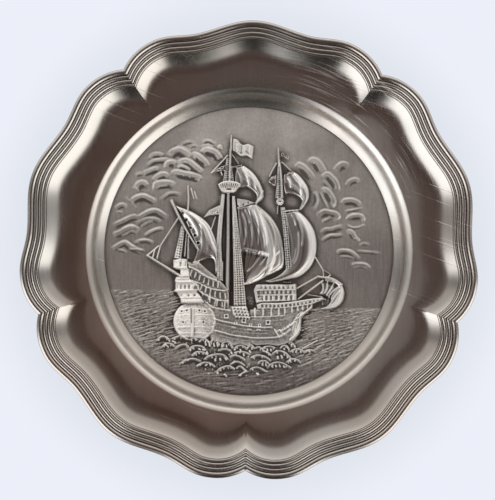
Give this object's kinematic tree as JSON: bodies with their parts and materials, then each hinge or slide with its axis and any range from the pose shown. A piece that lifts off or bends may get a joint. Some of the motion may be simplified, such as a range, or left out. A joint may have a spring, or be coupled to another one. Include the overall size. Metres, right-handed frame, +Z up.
{
  "type": "pewter wall plate",
  "caption": "Lobed cast metal wall plate with a reeded rim and a sunk round medallion showing a sailing ship, clouds and sea in low relief; hangs flat on a wall.",
  "frame": {"origin": "centre of the medallion's flat back, on the wall's face", "axes": "+X to the viewer's right, +Y from the plate into the wall, +Z up; the relief faces -Y"},
  "size_m": [0.2397, 0.0167, 0.2401],
  "materials": {
    "pewter": "antiqued pewter: warm grey, satin, darker in the hollows and brighter on the ridges"
  },
  "bodies": {
    "root": {"plate": "pewter"}
  },
  "joints": []
}
